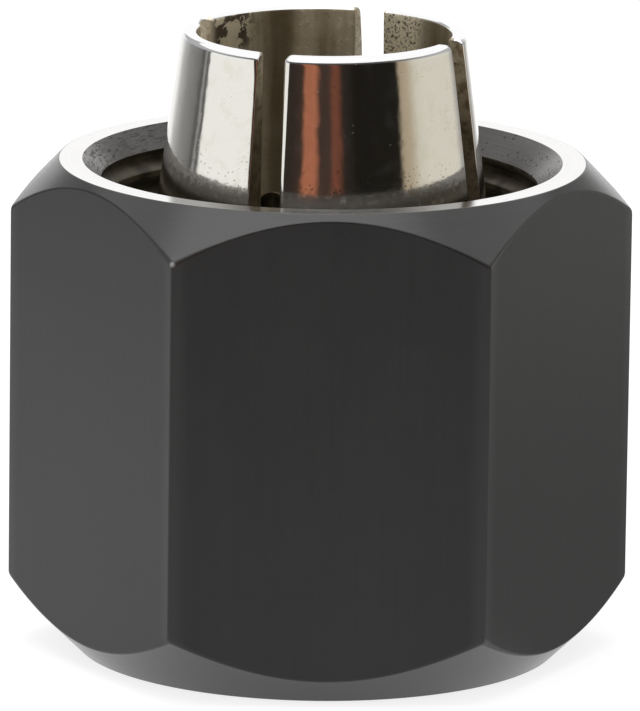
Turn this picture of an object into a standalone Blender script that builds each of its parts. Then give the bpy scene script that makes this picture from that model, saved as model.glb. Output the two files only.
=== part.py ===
"""A router collet in its clamping nut, at real size, standing on the nut's front face.

The collet is one turned spring-steel sleeve with eight saw slots, four from each end.
Its long taper points up and fits the spindle of a router, and its short front cone sits
in the nut. A snap ring of round wire lies half in a groove of the nut and half in a groove
of the collet, so the nut pulls the collet out of the spindle when it is unscrewed, while
the collet can still turn and float a little. Metres, +Z towards the tip of the taper, with
the origin in the middle of the nut's front face and two wrench flats facing -Y and +Y.
"""

import math

import bmesh
import bpy
from mathutils import Matrix, Vector

# Collet, from its bore outwards
SHANK_DIAMETER = 0.0127
TIP_WALL = 0.00077
TAPER_ANGLE = math.radians(7.5)
RING_GROOVE_DEPTH = 0.0011
NOSE_WALL = 0.00155
TIP_ROUND = 0.00026
BORE_EDGE = 0.00018
HEAD_EDGE = 0.00025

# Collet, from the nut's front face upwards
NOSE_RECESS = 0.0006
NOSE_LENGTH = 0.0016
SEAT_LENGTH = 0.0031
HEAD_LENGTH = 0.0020
TIP_STAND_OUT = 0.00655

# Saw slots
SLOTS_PER_END = 4
SLOT_WIDTH = 0.0016
NOSE_BRIDGE = 0.0035
TIP_BRIDGE = 0.0095
FIRST_SLOT_TURN = math.radians(-23.1)

# Snap ring
WIRE_DIAMETER = 0.0018
RING_OPENING = math.radians(34.0)
RING_OPENING_TURN = math.radians(140.0)

# Fits between the pieces
CLEARANCE = 0.0003
FLOAT = 0.0008
ENTRY_ROOM = 0.000634

# Nut
THREAD_DEPTH = 0.0008
MOUTH_FLARE = 0.0012
MOUTH_ANGLE = math.radians(45.0)
NUT_WALL = 0.0015
SHOULDER_LENGTH = 0.0010
RELIEF_LENGTH = 0.0016
RELIEF_DEPTH = 0.0002
THREAD_LENGTH = 0.0105
FRONT_CHAMFER = 0.0014
MOUTH_CHAMFER = 0.0003
CHAMFER_ANGLE = math.radians(45.0)
FRONT_HOLE_CHAMFER = 0.0004

# How finely round shapes are divided, and how far a cutter reaches past what it cuts
TURN_STEPS = 96
ARC_STEPS = 4
SLOT_END_STEPS = 12
RING_STEPS = 66
WIRE_RESOLUTION = 4
MERGE = 1e-6
REACH = 0.001
SHARP_ANGLE = math.radians(30.0)

# Heights along the axis
nose_z = NOSE_RECESS
seat_low_z = nose_z + NOSE_LENGTH
seat_high_z = seat_low_z + SEAT_LENGTH
head_top_z = seat_high_z + HEAD_LENGTH
ring_low_z = head_top_z + CLEARANCE + FLOAT
ring_mid_z = ring_low_z + WIRE_DIAMETER / 2
ring_high_z = ring_low_z + WIRE_DIAMETER
taper_low_z = ring_high_z + CLEARANCE
shoulder_z = taper_low_z + SHOULDER_LENGTH
thread_low_z = shoulder_z + RELIEF_LENGTH
flare_low_z = thread_low_z + THREAD_LENGTH
nut_top_z = flare_low_z + MOUTH_FLARE / math.tan(MOUTH_ANGLE)
tip_z = nut_top_z + TIP_STAND_OUT

# Radii from the axis
bore_r = SHANK_DIAMETER / 2
tip_r = bore_r + TIP_WALL
head_r = tip_r + (tip_z - taper_low_z) * math.tan(TAPER_ANGLE)
groove_r = head_r - RING_GROOVE_DEPTH
nose_r = bore_r + NOSE_WALL
cavity_r = head_r + CLEARANCE
front_hole_r = nose_r + CLEARANCE
wire_centre_r = groove_r + CLEARANCE + WIRE_DIAMETER / 2
nut_groove_r = wire_centre_r + WIRE_DIAMETER / 2 + CLEARANCE
thread_bore_r = cavity_r + ENTRY_ROOM
mouth_r = thread_bore_r + MOUTH_FLARE
relief_r = thread_bore_r + THREAD_DEPTH + RELIEF_DEPTH
flat_r = mouth_r + NUT_WALL
corner_r = flat_r / math.cos(math.pi / 6)


def clear_scene():
    for obj in list(bpy.data.objects):
        bpy.data.objects.remove(obj, do_unlink=True)


def metal(name, color, roughness, metallic):
    material = bpy.data.materials.new(name)
    material.use_nodes = True
    shader = material.node_tree.nodes["Principled BSDF"]
    shader.inputs["Base Color"].default_value = (*color, 1.0)
    shader.inputs["Roughness"].default_value = roughness
    shader.inputs["Metallic"].default_value = metallic
    return material


def add_object(name, data):
    obj = bpy.data.objects.new(name, data)
    bpy.context.scene.collection.objects.link(obj)
    return obj


def turned(name, outline, closed):
    """A body turned about Z. Its outline of (radius, height) runs down the outer side;
    a closed outline makes a ring, and an open one starts and ends on the axis."""
    count = len(outline)
    edges = [(i, (i + 1) % count) for i in range(count if closed else count - 1)]
    mesh = bpy.data.meshes.new(name)
    mesh.from_pydata([(radius, 0.0, height) for radius, height in outline], edges, [])
    obj = add_object(name, mesh)
    screw = obj.modifiers.new("Turn", "SCREW")
    screw.steps = TURN_STEPS
    screw.render_steps = TURN_STEPS
    screw.use_merge_vertices = True
    screw.merge_threshold = MERGE
    return obj


def round_corner(centre, radius, start, end):
    """Points of a quarter round on an outline, from one angle to another."""
    points = []
    for step in range(ARC_STEPS + 1):
        angle = start + (end - start) * step / ARC_STEPS
        points.append((centre[0] + radius * math.cos(angle), centre[1] + radius * math.sin(angle)))
    return points


def hide_cutter(cutter):
    cutter.hide_render = True
    cutter.display_type = "WIRE"


def cut(obj, cutter, operation="DIFFERENCE"):
    modifier = obj.modifiers.new(cutter.name, "BOOLEAN")
    modifier.operation = operation
    modifier.object = cutter
    hide_cutter(cutter)


def finish(obj, material):
    """Settles the modifiers into the mesh, shades its round faces smooth and colours it."""
    graph = bpy.context.evaluated_depsgraph_get()
    mesh = bpy.data.meshes.new_from_object(obj.evaluated_get(graph))
    mesh.name = obj.name
    mesh.shade_smooth()
    mesh.set_sharp_from_angle(angle=SHARP_ANGLE)
    mesh.materials.clear()
    mesh.materials.append(material)
    if obj.type == "MESH":
        obj.modifiers.clear()
        obj.data = mesh
        return obj
    place = obj.location.copy()
    name = obj.name
    bpy.data.objects.remove(obj, do_unlink=True)
    piece = add_object(name, mesh)
    piece.location = place
    return piece


def hexagon_bar():
    """Hexagon bar stock, longer than the nut, with two flats facing -Y and +Y."""
    mesh = bpy.data.meshes.new("hexagon_bar")
    shape = bmesh.new()
    corners = []
    for corner in range(6):
        angle = corner * math.pi / 3
        place = (corner_r * math.cos(angle), corner_r * math.sin(angle), -REACH)
        corners.append(shape.verts.new(place))
    base = shape.faces.new(corners)
    grown = bmesh.ops.extrude_face_region(shape, geom=[base])
    raised = [item for item in grown["geom"] if isinstance(item, bmesh.types.BMVert)]
    bmesh.ops.translate(shape, verts=raised, vec=(0.0, 0.0, nut_top_z + 2 * REACH))
    bmesh.ops.recalc_face_normals(shape, faces=shape.faces)
    shape.to_mesh(mesh)
    shape.free()
    return add_object("nut", mesh)


def chamfer_envelope():
    """The round blank whose coned ends chamfer the six corners of the bar."""
    face_r = flat_r - FRONT_CHAMFER
    rim_r = flat_r - MOUTH_CHAMFER
    blank_r = corner_r + REACH
    slope = math.tan(CHAMFER_ANGLE)
    outline = [
        (0.0, nut_top_z),
        (rim_r, nut_top_z),
        (blank_r, nut_top_z - (blank_r - rim_r) * slope),
        (blank_r, (blank_r - face_r) * slope),
        (face_r, 0.0),
        (0.0, 0.0),
    ]
    return turned("chamfer_envelope", outline, closed=False)


def seat_offset():
    """How far the nut's seat lies outside the collet's front cone, at equal height."""
    slope = math.atan2(head_r - nose_r, SEAT_LENGTH)
    return CLEARANCE / math.cos(slope)


def nut_bore():
    """Everything turned out of the nut, from the threaded mouth down to the front hole."""
    rise = SEAT_LENGTH / (head_r - nose_r)
    seat_top_z = seat_high_z + (cavity_r - head_r - seat_offset()) * rise
    seat_bottom_z = seat_low_z + (front_hole_r - nose_r - seat_offset()) * rise
    outline = [
        (0.0, nut_top_z + REACH),
        (mouth_r + REACH * math.tan(MOUTH_ANGLE), nut_top_z + REACH),
        (thread_bore_r, flare_low_z),
        (thread_bore_r, thread_low_z),
        (relief_r, thread_low_z),
        (relief_r, shoulder_z),
        (cavity_r, shoulder_z),
        (cavity_r, ring_high_z + CLEARANCE),
        (nut_groove_r, ring_high_z + CLEARANCE),
        (nut_groove_r, ring_low_z - CLEARANCE),
        (cavity_r, ring_low_z - CLEARANCE),
        (cavity_r, seat_top_z),
        (front_hole_r, seat_bottom_z),
        (front_hole_r, FRONT_HOLE_CHAMFER),
        (front_hole_r + FRONT_HOLE_CHAMFER + REACH, -REACH),
        (0.0, -REACH),
    ]
    return turned("nut_bore", outline, closed=False)


def make_nut(material):
    nut = hexagon_bar()
    cut(nut, chamfer_envelope(), "INTERSECT")
    cut(nut, nut_bore())
    return finish(nut, material)


def collet_blank():
    """The collet before it is slotted: taper, ring groove, head, front cone and nose."""
    quarter = math.pi / 2
    corner = (tip_r - TIP_ROUND, tip_z - TIP_ROUND)
    outline = [(bore_r + BORE_EDGE, tip_z)]
    outline += round_corner(corner, TIP_ROUND, quarter, TAPER_ANGLE)
    outline += [
        (head_r, taper_low_z),
        (groove_r, taper_low_z),
        (groove_r, head_top_z),
        (head_r - HEAD_EDGE, head_top_z),
        (head_r, head_top_z - HEAD_EDGE),
        (head_r, seat_high_z),
        (nose_r, seat_low_z),
        (nose_r, nose_z + HEAD_EDGE),
        (nose_r - HEAD_EDGE, nose_z),
        (bore_r + BORE_EDGE, nose_z),
        (bore_r, nose_z + BORE_EDGE),
        (bore_r, tip_z - BORE_EDGE),
    ]
    return turned("collet", outline, closed=True)


def slot_outline(end_z, open_z):
    """Across and height of one saw slot, square where it opens and round where it ends."""
    half = SLOT_WIDTH / 2
    side = math.copysign(1.0, open_z - end_z)
    points = [(half, open_z), (-half, open_z)]
    for step in range(SLOT_END_STEPS + 1):
        angle = math.pi * step / SLOT_END_STEPS
        points.append((-half * math.cos(angle), end_z + side * half * (1.0 - math.sin(angle))))
    return points


def saw_slots(name, end_z, open_z, first_turn):
    """The slots of one end, as blades that reach out from inside the bore."""
    mesh = bpy.data.meshes.new(name)
    shape = bmesh.new()
    inner, outer = SLOT_WIDTH, cavity_r
    for slot in range(SLOTS_PER_END):
        turn = Matrix.Rotation(first_turn + slot * math.tau / SLOTS_PER_END, 3, "Z")
        corners = [turn @ Vector((x, -inner, z)) for x, z in slot_outline(end_z, open_z)]
        face = shape.faces.new([shape.verts.new(corner) for corner in corners])
        grown = bmesh.ops.extrude_face_region(shape, geom=[face])
        raised = [item for item in grown["geom"] if isinstance(item, bmesh.types.BMVert)]
        reach = turn @ Vector((0.0, inner - outer, 0.0))
        bmesh.ops.translate(shape, verts=raised, vec=reach)
    bmesh.ops.recalc_face_normals(shape, faces=shape.faces)
    shape.to_mesh(mesh)
    shape.free()
    return add_object(name, mesh)


def make_collet(material):
    collet = collet_blank()
    between = math.pi / SLOTS_PER_END
    from_tip = saw_slots("slots_from_tip", nose_z + NOSE_BRIDGE, tip_z + REACH, FIRST_SLOT_TURN)
    from_nose = saw_slots(
        "slots_from_nose", tip_z - TIP_BRIDGE, nose_z - REACH, FIRST_SLOT_TURN + between
    )
    cut(collet, from_tip)
    cut(collet, from_nose)
    return finish(collet, material)


def make_ring(material):
    """Round spring wire bent to a ring that is open over a short arc."""
    curve = bpy.data.curves.new("retaining_ring", "CURVE")
    curve.dimensions = "3D"
    curve.bevel_depth = WIRE_DIAMETER / 2
    curve.bevel_resolution = WIRE_RESOLUTION
    curve.use_fill_caps = True
    spline = curve.splines.new("POLY")
    spline.points.add(RING_STEPS)
    for step, point in enumerate(spline.points):
        share = step / RING_STEPS
        angle = RING_OPENING_TURN + RING_OPENING / 2 + (math.tau - RING_OPENING) * share
        point.co = (wire_centre_r * math.cos(angle), wire_centre_r * math.sin(angle), 0.0, 1.0)
    ring = add_object("retaining_ring", curve)
    ring.location.z = ring_mid_z
    return finish(ring, material)


def carry(child, parent):
    """Parents one piece to another and leaves it where it stands."""
    bpy.context.view_layer.update()
    child.parent = parent
    child.matrix_parent_inverse = parent.matrix_world.inverted()


def main():
    clear_scene()
    nut = make_nut(metal("black_oxide_steel", (0.035, 0.034, 0.035), 0.38, 0.85))
    collet = make_collet(metal("polished_spring_steel", (0.62, 0.60, 0.56), 0.14, 1.0))
    ring = make_ring(metal("bright_spring_wire", (0.55, 0.54, 0.52), 0.25, 1.0))
    carry(ring, nut)
    carry(collet, ring)


main()
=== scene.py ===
# %% [markdown]
# # A router collet in its clamping nut
#
# The object is a workholding part of a router: a slotted steel sleeve, the collet, that sits in a
# black hexagon nut. This file dresses the packed solid model with finer shapes and with finishes.
# It is laid out as a lesson. Each step first says what the real thing is and how it could be
# made, and then makes it. The packed model comes in first, because it fixes every place and size.

import math

import bmesh
import bpy
import numpy as np
from mathutils import Matrix, Vector


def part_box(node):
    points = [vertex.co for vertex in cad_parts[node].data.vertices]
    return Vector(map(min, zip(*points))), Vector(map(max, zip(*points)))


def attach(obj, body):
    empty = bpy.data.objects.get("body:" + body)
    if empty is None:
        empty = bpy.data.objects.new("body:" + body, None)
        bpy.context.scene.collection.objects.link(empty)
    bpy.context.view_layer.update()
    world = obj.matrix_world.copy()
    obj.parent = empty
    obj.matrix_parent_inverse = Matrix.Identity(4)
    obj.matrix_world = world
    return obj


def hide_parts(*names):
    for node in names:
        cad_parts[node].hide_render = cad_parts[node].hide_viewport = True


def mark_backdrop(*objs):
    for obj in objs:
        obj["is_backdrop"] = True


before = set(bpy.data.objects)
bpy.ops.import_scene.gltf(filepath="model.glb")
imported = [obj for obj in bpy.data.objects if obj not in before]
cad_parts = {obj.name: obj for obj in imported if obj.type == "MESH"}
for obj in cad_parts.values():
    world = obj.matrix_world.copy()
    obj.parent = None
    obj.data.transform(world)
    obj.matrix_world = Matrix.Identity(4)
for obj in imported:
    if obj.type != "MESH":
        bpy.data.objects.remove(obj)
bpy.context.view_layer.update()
scene = bpy.context.scene
scene.view_settings.view_transform = "Standard"

# %% [markdown]
# ## The camera
#
# The photograph was taken from quite far with a long lens, a little above the nut, so the
# hexagon's sides hardly converge. The angles below came from matching the two rims, the chamfer
# curves and the corners of the nut. The camera is placed on a line from a point on the axis,
# turned to look at a point slightly higher, and then rolled a little, because the real camera was
# not quite level.

# %% Place the camera
MM = 0.001
TARGET_HEIGHT = 14.0 * MM
AIM_HEIGHT = 14.756 * MM
CAMERA_DISTANCE = 509.7 * MM
CAMERA_RISE = math.radians(12.856)
CAMERA_TURN = math.radians(-2.10)
CAMERA_ROLL = math.radians(-0.754)
LENS = 513.9

camera = bpy.data.objects.new("camera", bpy.data.cameras.new("camera"))
scene.collection.objects.link(camera)
camera.data.lens = LENS
camera.data.sensor_width = 36.0
camera.data.clip_start = 0.01
camera.data.clip_end = 20.0
away = Vector((
    math.sin(CAMERA_TURN) * math.cos(CAMERA_RISE),
    -math.cos(CAMERA_TURN) * math.cos(CAMERA_RISE),
    math.sin(CAMERA_RISE),
))
stand = Vector((0.0, 0.0, TARGET_HEIGHT)) + away * CAMERA_DISTANCE
sight = Vector((0.0, 0.0, AIM_HEIGHT)) - stand
level = sight.to_track_quat("-Z", "Y").to_matrix().to_4x4()
camera.matrix_world = Matrix.Translation(stand) @ level @ Matrix.Rotation(-CAMERA_ROLL, 4, "Z")
scene.camera = camera
print("camera stands at", [round(value, 4) for value in stand])

# %% [markdown]
# ## Sizes that the pieces share
#
# All shapes below are written in millimetres and scaled once, when they become a mesh. The
# heights and radii repeat the solid model's own, so every finer piece lies where its solid lies.
# A few are measured from the loaded model, so that a slip in the numbers would show in what is
# printed.

# %% Shared sizes
NUT_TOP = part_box("nut")[1].z / MM
ACROSS_FLATS = 2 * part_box("nut")[1].y / MM
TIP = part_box("collet")[1].z / MM
BORE = 6.35
HEAD_RADIUS = 9.865
CAVITY = HEAD_RADIUS + 0.3
print(f"nut {NUT_TOP:.2f} high, {ACROSS_FLATS:.2f} across flats, collet tip at {TIP:.2f}")

# %% [markdown]
# ## From outlines to meshes
#
# Nearly everything here is turned on a lathe, so its shape is an outline swept round the axis.
# Real edges are never razor sharp: they are broken with a file or by tumbling, and that small
# round is what catches the light. `eased` rounds the corners of an outline, and adds a guard
# point beside each round, so that smooth shading doesn't bend the flat next to it.

# %% Outlines with eased corners
EASE_STEPS = 4
EASE_GUARD = 0.04
ROUND_ROWS = EASE_STEPS + 3


def eased(corners):
    """Corners are (radius, height, round). The ends of the outline stay as they are."""
    places = np.array([corner[:2] for corner in corners], float)
    rounds = [corner[2] for corner in corners]
    points = [places[0]]
    for before, corner, after, ease in zip(places, places[1:], places[2:], rounds[1:]):
        if not ease:
            points.append(corner)
            continue
        inward = (corner - before) / np.linalg.norm(corner - before)
        onward = (after - corner) / np.linalg.norm(after - corner)
        turn = math.acos(np.clip(inward @ onward, -1.0, 1.0))
        reach = ease * math.tan(turn / 2)
        middle = corner + (onward - inward) * ease / math.sin(turn)
        points.append(corner - inward * (reach + EASE_GUARD))
        for step in range(EASE_STEPS + 1):
            share = turn * step / EASE_STEPS
            first = corner - inward * reach - middle
            side = inward * ease
            points.append(middle + first * math.cos(share) + side * math.sin(share))
        points.append(corner + onward * (reach + EASE_GUARD))
    points.append(places[-1])
    return np.array(points)


sample = eased([(0, 0, 0), (1, 0, 0.2), (1, 1, 0)])
print("an outline with one eased corner has", len(sample), "points,", ROUND_ROWS, "of them eased")

# %% [markdown]
# A mesh is filled from patches. Each patch is a grid of points with the finish of its faces.
# Points that fall on the same place are welded, so neighbouring patches share their edge and the
# piece ends up as one closed skin. A count of open edges is printed: a closed solid has none.

# %% Patches welded into one skin
WELD = 0.0008
SHARP = math.radians(30.0)


class Skin:
    """Collects grids of points in millimetres and welds them into one closed mesh."""

    def __init__(self, name):
        self.name = name
        self.points = []
        self.faces = []
        self.finishes = []

    def patch(self, grid, finish):
        """Grid is rows by columns by (x, y, z). Finish is one number, or one for each row."""
        rows, columns = grid.shape[:2]
        start = len(self.points)
        self.points.extend(grid.reshape(-1, 3))
        numbers = start + np.arange(rows * columns).reshape(rows, columns)
        kinds = np.broadcast_to(finish, rows - 1)
        for row in range(rows - 1):
            low, high = numbers[row], numbers[row + 1]
            for column in range(columns - 1):
                self.faces.append((low[column], low[column + 1], high[column + 1], high[column]))
                self.finishes.append(int(kinds[row]))

    def build(self, finishes):
        mesh = bpy.data.meshes.new(self.name)
        mesh.from_pydata(np.array(self.points) * MM, [], self.faces)
        mesh.polygons.foreach_set("material_index", self.finishes)
        shape = bmesh.new()
        shape.from_mesh(mesh)
        bmesh.ops.remove_doubles(shape, verts=shape.verts, dist=WELD * MM)
        bmesh.ops.recalc_face_normals(shape, faces=shape.faces)
        open_edges = sum(not edge.is_manifold for edge in shape.edges)
        shape.to_mesh(mesh)
        shape.free()
        for finish in finishes:
            mesh.materials.append(finish)
        mesh.shade_smooth()
        mesh.set_sharp_from_angle(angle=SHARP)
        piece = bpy.data.objects.new(self.name, mesh)
        scene.collection.objects.link(piece)
        count = sum(len(face.vertices) - 2 for face in mesh.polygons)
        print(f"{self.name}: {count} triangles, {open_edges} open edges")
        return piece


def around(radius, height, angle):
    """Points on circles about the axis, from arrays that fit together."""
    radius, height, angle = np.broadcast_arrays(radius, height, angle)
    return np.stack([radius * np.cos(angle), radius * np.sin(angle), height], axis=-1)


print("a quarter turn at 1 mm leads to", around(1.0, 0.0, math.pi / 2).round(3))

# %% [markdown]
# ## Shader arithmetic
#
# A finish is easier to read as a formula than as a picture of linked boxes. `Signal` wraps one
# output of a node. Plus, minus, times, divide and power on it add a Math node, also when the
# number comes first, as in `1 - mask`. Every other node comes from the method `node`, which sets
# the node's own settings before its sockets.

# %% A small class for node formulas
class Signal:
    """One output of a node in a tree, or only the tree when it has no socket yet."""

    def __init__(self, tree, socket=None):
        self.tree = tree
        self.socket = socket

    def node(self, kind, settings=None, sockets=None, output=0):
        node = self.tree.nodes.new(kind)
        for name, value in (settings or {}).items():
            if name == "stops":
                self.place_stops(node.color_ramp, value)
            else:
                setattr(node, name, value)
        for name, value in (sockets or {}).items():
            if isinstance(value, Signal):
                self.tree.links.new(value.socket, node.inputs[name])
            else:
                node.inputs[name].default_value = value
        return Signal(self.tree, node.outputs[output]) if len(node.outputs) else node

    @staticmethod
    def place_stops(ramp, stops):
        for element, (position, color) in zip(ramp.elements, (stops[0], stops[-1])):
            element.position = position
            element.color = color
        for position, color in stops[1:-1]:
            ramp.elements.new(position).color = color

    def math(self, operation, *values):
        return self.node("ShaderNodeMath", {"operation": operation}, dict(enumerate(values)))

    def __add__(self, other):
        return self.math("ADD", self, other)

    def __radd__(self, other):
        return self.math("ADD", other, self)

    def __sub__(self, other):
        return self.math("SUBTRACT", self, other)

    def __rsub__(self, other):
        return self.math("SUBTRACT", other, self)

    def __mul__(self, other):
        return self.math("MULTIPLY", self, other)

    def __rmul__(self, other):
        return self.math("MULTIPLY", other, self)

    def __truediv__(self, other):
        return self.math("DIVIDE", self, other)

    def __pow__(self, other):
        return self.math("POWER", self, other)

    def between(self, low, high):
        """0 at low and 1 at high, with a soft start and end."""
        return self.node(
            "ShaderNodeMapRange",
            {"interpolation_type": "SMOOTHSTEP"},
            {"Value": self, "From Min": low, "From Max": high},
        )

    def band(self, low, high, soft):
        """1 from low to high, with soft borders."""
        return self.between(low - soft, low + soft) * (1 - self.between(high - soft, high + soft))

    def part(self, axis):
        return self.node("ShaderNodeSeparateXYZ", None, {0: self}, axis)

    def stretched(self, factors):
        return self.node(
            "ShaderNodeVectorMath", {"operation": "MULTIPLY"}, {0: self, 1: factors}
        )

    def grain(self, scale, detail=2.0, roughness=0.5):
        """Cloudy noise at so many features a millimetre, around 0.5."""
        sockets = {"Vector": self, "Scale": scale, "Detail": detail, "Roughness": roughness}
        return self.node("ShaderNodeTexNoise", None, sockets)

    def spots(self, scale, size, soft):
        """1 inside scattered round spots of that share of a cell, 0 elsewhere."""
        sockets = {"Vector": self, "Scale": scale}
        distance = self.node("ShaderNodeTexVoronoi", None, sockets, "Distance")
        return 1 - distance.between(size - soft, size + soft)


print("a signal can be asked for:", ", ".join(name for name in vars(Signal) if name[0] != "_"))

# %% [markdown]
# Every finish starts alike: a surface shader, and the place of a point on the piece in
# millimetres, also as a radius from the axis and an angle about it. Machined marks follow those
# two. The place comes from the piece's own coordinates, so the marks turn with it.

# %% Start and finish of a material
def tint(mask, first, second):
    """The first colour where the mask is 0, the second where it is 1."""
    return mask.node(
        "ShaderNodeMix", {"data_type": "RGBA"}, {0: mask, 6: first, 7: second}, 2
    )


def grey(level, warmth=0.0):
    return (level * (1 + warmth), level, level * (1 - warmth), 1.0)


class Finish:
    """A material with the place on the piece ready for use."""

    def __init__(self, name):
        self.material = bpy.data.materials.new(name)
        self.material.use_nodes = True
        self.tree = self.material.node_tree
        self.shader = self.tree.nodes["Principled BSDF"]
        sheet = Signal(self.tree)
        metres = sheet.node("ShaderNodeTexCoord", output="Object")
        self.place = sheet.node(
            "ShaderNodeVectorMath", {"operation": "SCALE"}, {0: metres, "Scale": 1 / MM}
        )
        self.x, self.y, self.z = (self.place.part(axis) for axis in "XYZ")
        self.radius = (self.x * self.x + self.y * self.y) ** 0.5
        self.angle = self.x.math("ARCTAN2", self.y, self.x)

    def rings(self, across, along, spread):
        """Place for marks left by a lathe: long round the axis, fine along the outline."""
        turned = self.angle.math("SINE", self.angle) * spread
        sockets = {0: self.radius * across, 1: self.z * along, 2: turned}
        return self.place.node("ShaderNodeCombineXYZ", None, sockets)

    def set(self, **values):
        for name, value in values.items():
            socket = self.shader.inputs[name.replace("_", " ")]
            if isinstance(value, Signal):
                self.tree.links.new(value.socket, socket)
            else:
                socket.default_value = value

    def bumped(self, height, depth):
        """Raises the surface by height times depth, in millimetres, and gives the material."""
        sockets = {"Height": height, "Distance": depth * MM}
        self.set(Normal=height.node("ShaderNodeBump", None, sockets, "Normal"))
        print(f"finish {self.material.name}: {len(self.tree.nodes)} nodes")
        return self.material


print("a slightly warm mid grey:", grey(0.5, 0.02))

# %% [markdown]
# ## Finish: black oxide
#
# The nut is blackened steel. Black oxide is a thin conversion layer, dark and satin, that keeps
# the steel's texture: fine grain everywhere, faint lines along the bar on the drawn flats, and
# rings on the turned chamfers. It is a little uneven, and near the six upright edges it is
# slightly lighter and smoother. The colour stays nearly flat and most of the look is in roughness
# and bump.

# %% Black oxide
NICK = (-7.76, -13.42, 22.30)
NICK_SIZE = 0.20


def black_oxide(name, turned, dark, light, satin, sheen):
    finish = Finish(name)
    place = finish.place
    clouds = place.grain(0.22, 3.0, 0.55)
    speckle = place.grain(7.0, 2.0, 0.6)
    if turned:
        marks = finish.rings(9.0, 9.0, 0.6).grain(1.0, 2.0, 0.6)
    else:
        marks = place.stretched((5.0, 5.0, 0.12)).grain(1.0, 3.0, 0.6)
    # Slightly lighter and smoother in a band near the six upright edges.
    tone_shift = finish.radius.between(15.1, 15.5) * (1 - 0.5 * clouds)
    shade = (clouds - 0.5) * 0.8 + (speckle - 0.5) * 0.30 + (marks - 0.5) * 0.35 + 0.5
    color = tint(shade.between(0.0, 1.0), grey(dark, 0.03), grey(light, 0.02))
    color = tint(tone_shift * 0.2, color, grey(0.085, 0.02))
    apart = place.node(
        "ShaderNodeVectorMath", {"operation": "DISTANCE"}, {0: place, 1: NICK}, "Value"
    )
    nick = 1 - (apart + (speckle - 0.5) * 0.10).between(0.02, NICK_SIZE)
    finish.set(
        Base_Color=tint(nick, color, grey(0.40)),
        Roughness=satin + (speckle - 0.5) * 0.12 + (clouds - 0.5) * 0.10 - tone_shift * 0.05,
        Metallic=0.0,
        Specular_IOR_Level=sheen,
    )
    grain = place.grain(11.0, 2.0, 0.65)
    return finish.bumped(grain * 0.7 + marks * (0.45 if turned else 0.35), 0.006)


oxide_flat = black_oxide("black_oxide_drawn", False, 0.003, 0.018, 0.40, 0.44)
oxide_turned = black_oxide("black_oxide_turned", True, 0.019, 0.032, 0.22, 0.62)

# %% [markdown]
# ## Finish: the rim, the flared mouth and the thread
#
# The flat rim at the open end is bright and smooth. At the back and the sides it mirrors the
# white room, and in front it mirrors the collet. The flare inside it is blackened like the
# outside, so it is dark where it is looked at squarely. At the far left and right, where it is
# seen edge
# on, its colour is painted paler: a painted sheen for the light it mirrors there. It still shows
# the tool, with short torn marks on one side, and scratches and pits on the other. The thread
# below is oily and brownish.

# %% Bright rim
def bright_rim():
    finish = Finish("bright_turned_rim")
    rings = finish.rings(14.0, 1.0, 0.4).grain(1.0, 3.0, 0.6)
    clouds = finish.place.grain(0.5, 3.0, 0.5)
    pits = finish.place.spots(1.6, 0.10, 0.04)
    # Worn rings and pits make the rim duller in places.
    tone_shift = (rings - 0.45).between(0.0, 0.5) * 0.5 + pits * 0.6
    finish.set(
        Base_Color=tint(tone_shift, grey(0.93, 0.01), grey(0.62, 0.02)),
        Metallic=1.0,
        Roughness=0.13 + (clouds - 0.5) * 0.06 + rings * 0.05,
    )
    return finish.bumped(rings, 0.0015)


rim_steel = bright_rim()

# %% Flared mouth with tool marks
def flared_mouth():
    finish = Finish("flared_mouth_steel")
    x = finish.x
    rings = finish.rings(16.0, 16.0, 3.0).grain(1.0, 3.0, 0.7)
    torn = finish.rings(9.0, 9.0, 20.0).grain(1.0, 4.0, 0.75)
    pits = finish.place.spots(2.2, 0.17, 0.05)
    left = 1 - x.between(-9.5, -4.0)
    right = x.between(4.0, 9.5)
    marks = rings * (0.4 + right * 0.6) + torn * (0.25 + left * 0.7)
    dirt = (torn - 0.51).between(0.0, 0.08) * left * 0.9 + pits * (0.25 + right * 0.7)
    # Painted sheen: seen edge on at the far left and right, the flare is painted paler, for the
    # light it mirrors there.
    sides = x.math("ABSOLUTE", x).between(9.4, 11.9)
    dark = tint(marks.between(0.2, 0.8), grey(0.022, 0.12), grey(0.060, 0.12))
    painted_sheen = tint(marks.between(0.2, 0.8), grey(0.075, 0.06), grey(0.17, 0.06))
    color = tint(dirt, tint(sides, dark, painted_sheen), grey(0.010, 0.05))
    finish.set(
        Base_Color=color,
        Metallic=0.0,
        Roughness=0.24 + (torn - 0.5) * 0.2 + dirt * 0.4,
        Specular_IOR_Level=0.62,
    )
    return finish.bumped(marks - pits * 0.8, 0.010)


mouth_steel = flared_mouth()

# %% Oily thread
def oily_thread():
    finish = Finish("oily_thread_steel")
    rings = finish.rings(10.0, 12.0, 2.0).grain(1.0, 3.0, 0.6)
    stain = finish.place.grain(0.9, 3.0, 0.6)
    color = tint(stain.between(0.35, 0.7), (0.11, 0.092, 0.058, 1.0), (0.034, 0.027, 0.015, 1.0))
    finish.set(
        Base_Color=color,
        Metallic=0.25,
        Roughness=0.30 + rings * 0.12,
    )
    return finish.bumped(rings + stain * 0.5, 0.006)


thread_steel = oily_thread()

# %% [markdown]
# ## The nut
#
# The real nut is sawn from hexagon bar, and both ends are turned to a cone. Where a cone meets
# six flats it leaves the six arched edges that make a nut look like a nut. A Boolean of a cone
# and a hexagon gives those arches but no eased edges. Here the nut is a loft instead: at every
# angle about the axis it has its own outline, and only the distance to the hexagon's side changes
# with the angle. First comes the hexagon, with its six upright edges rounded.

# %% Angles and reach of the hexagon
FLAT = ACROSS_FLATS / 2
UPRIGHT_ROUND = 0.16
SIDE_COLUMNS = 34
ROUND_COLUMNS = 6
SIDE_GUARD = 0.05


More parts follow.
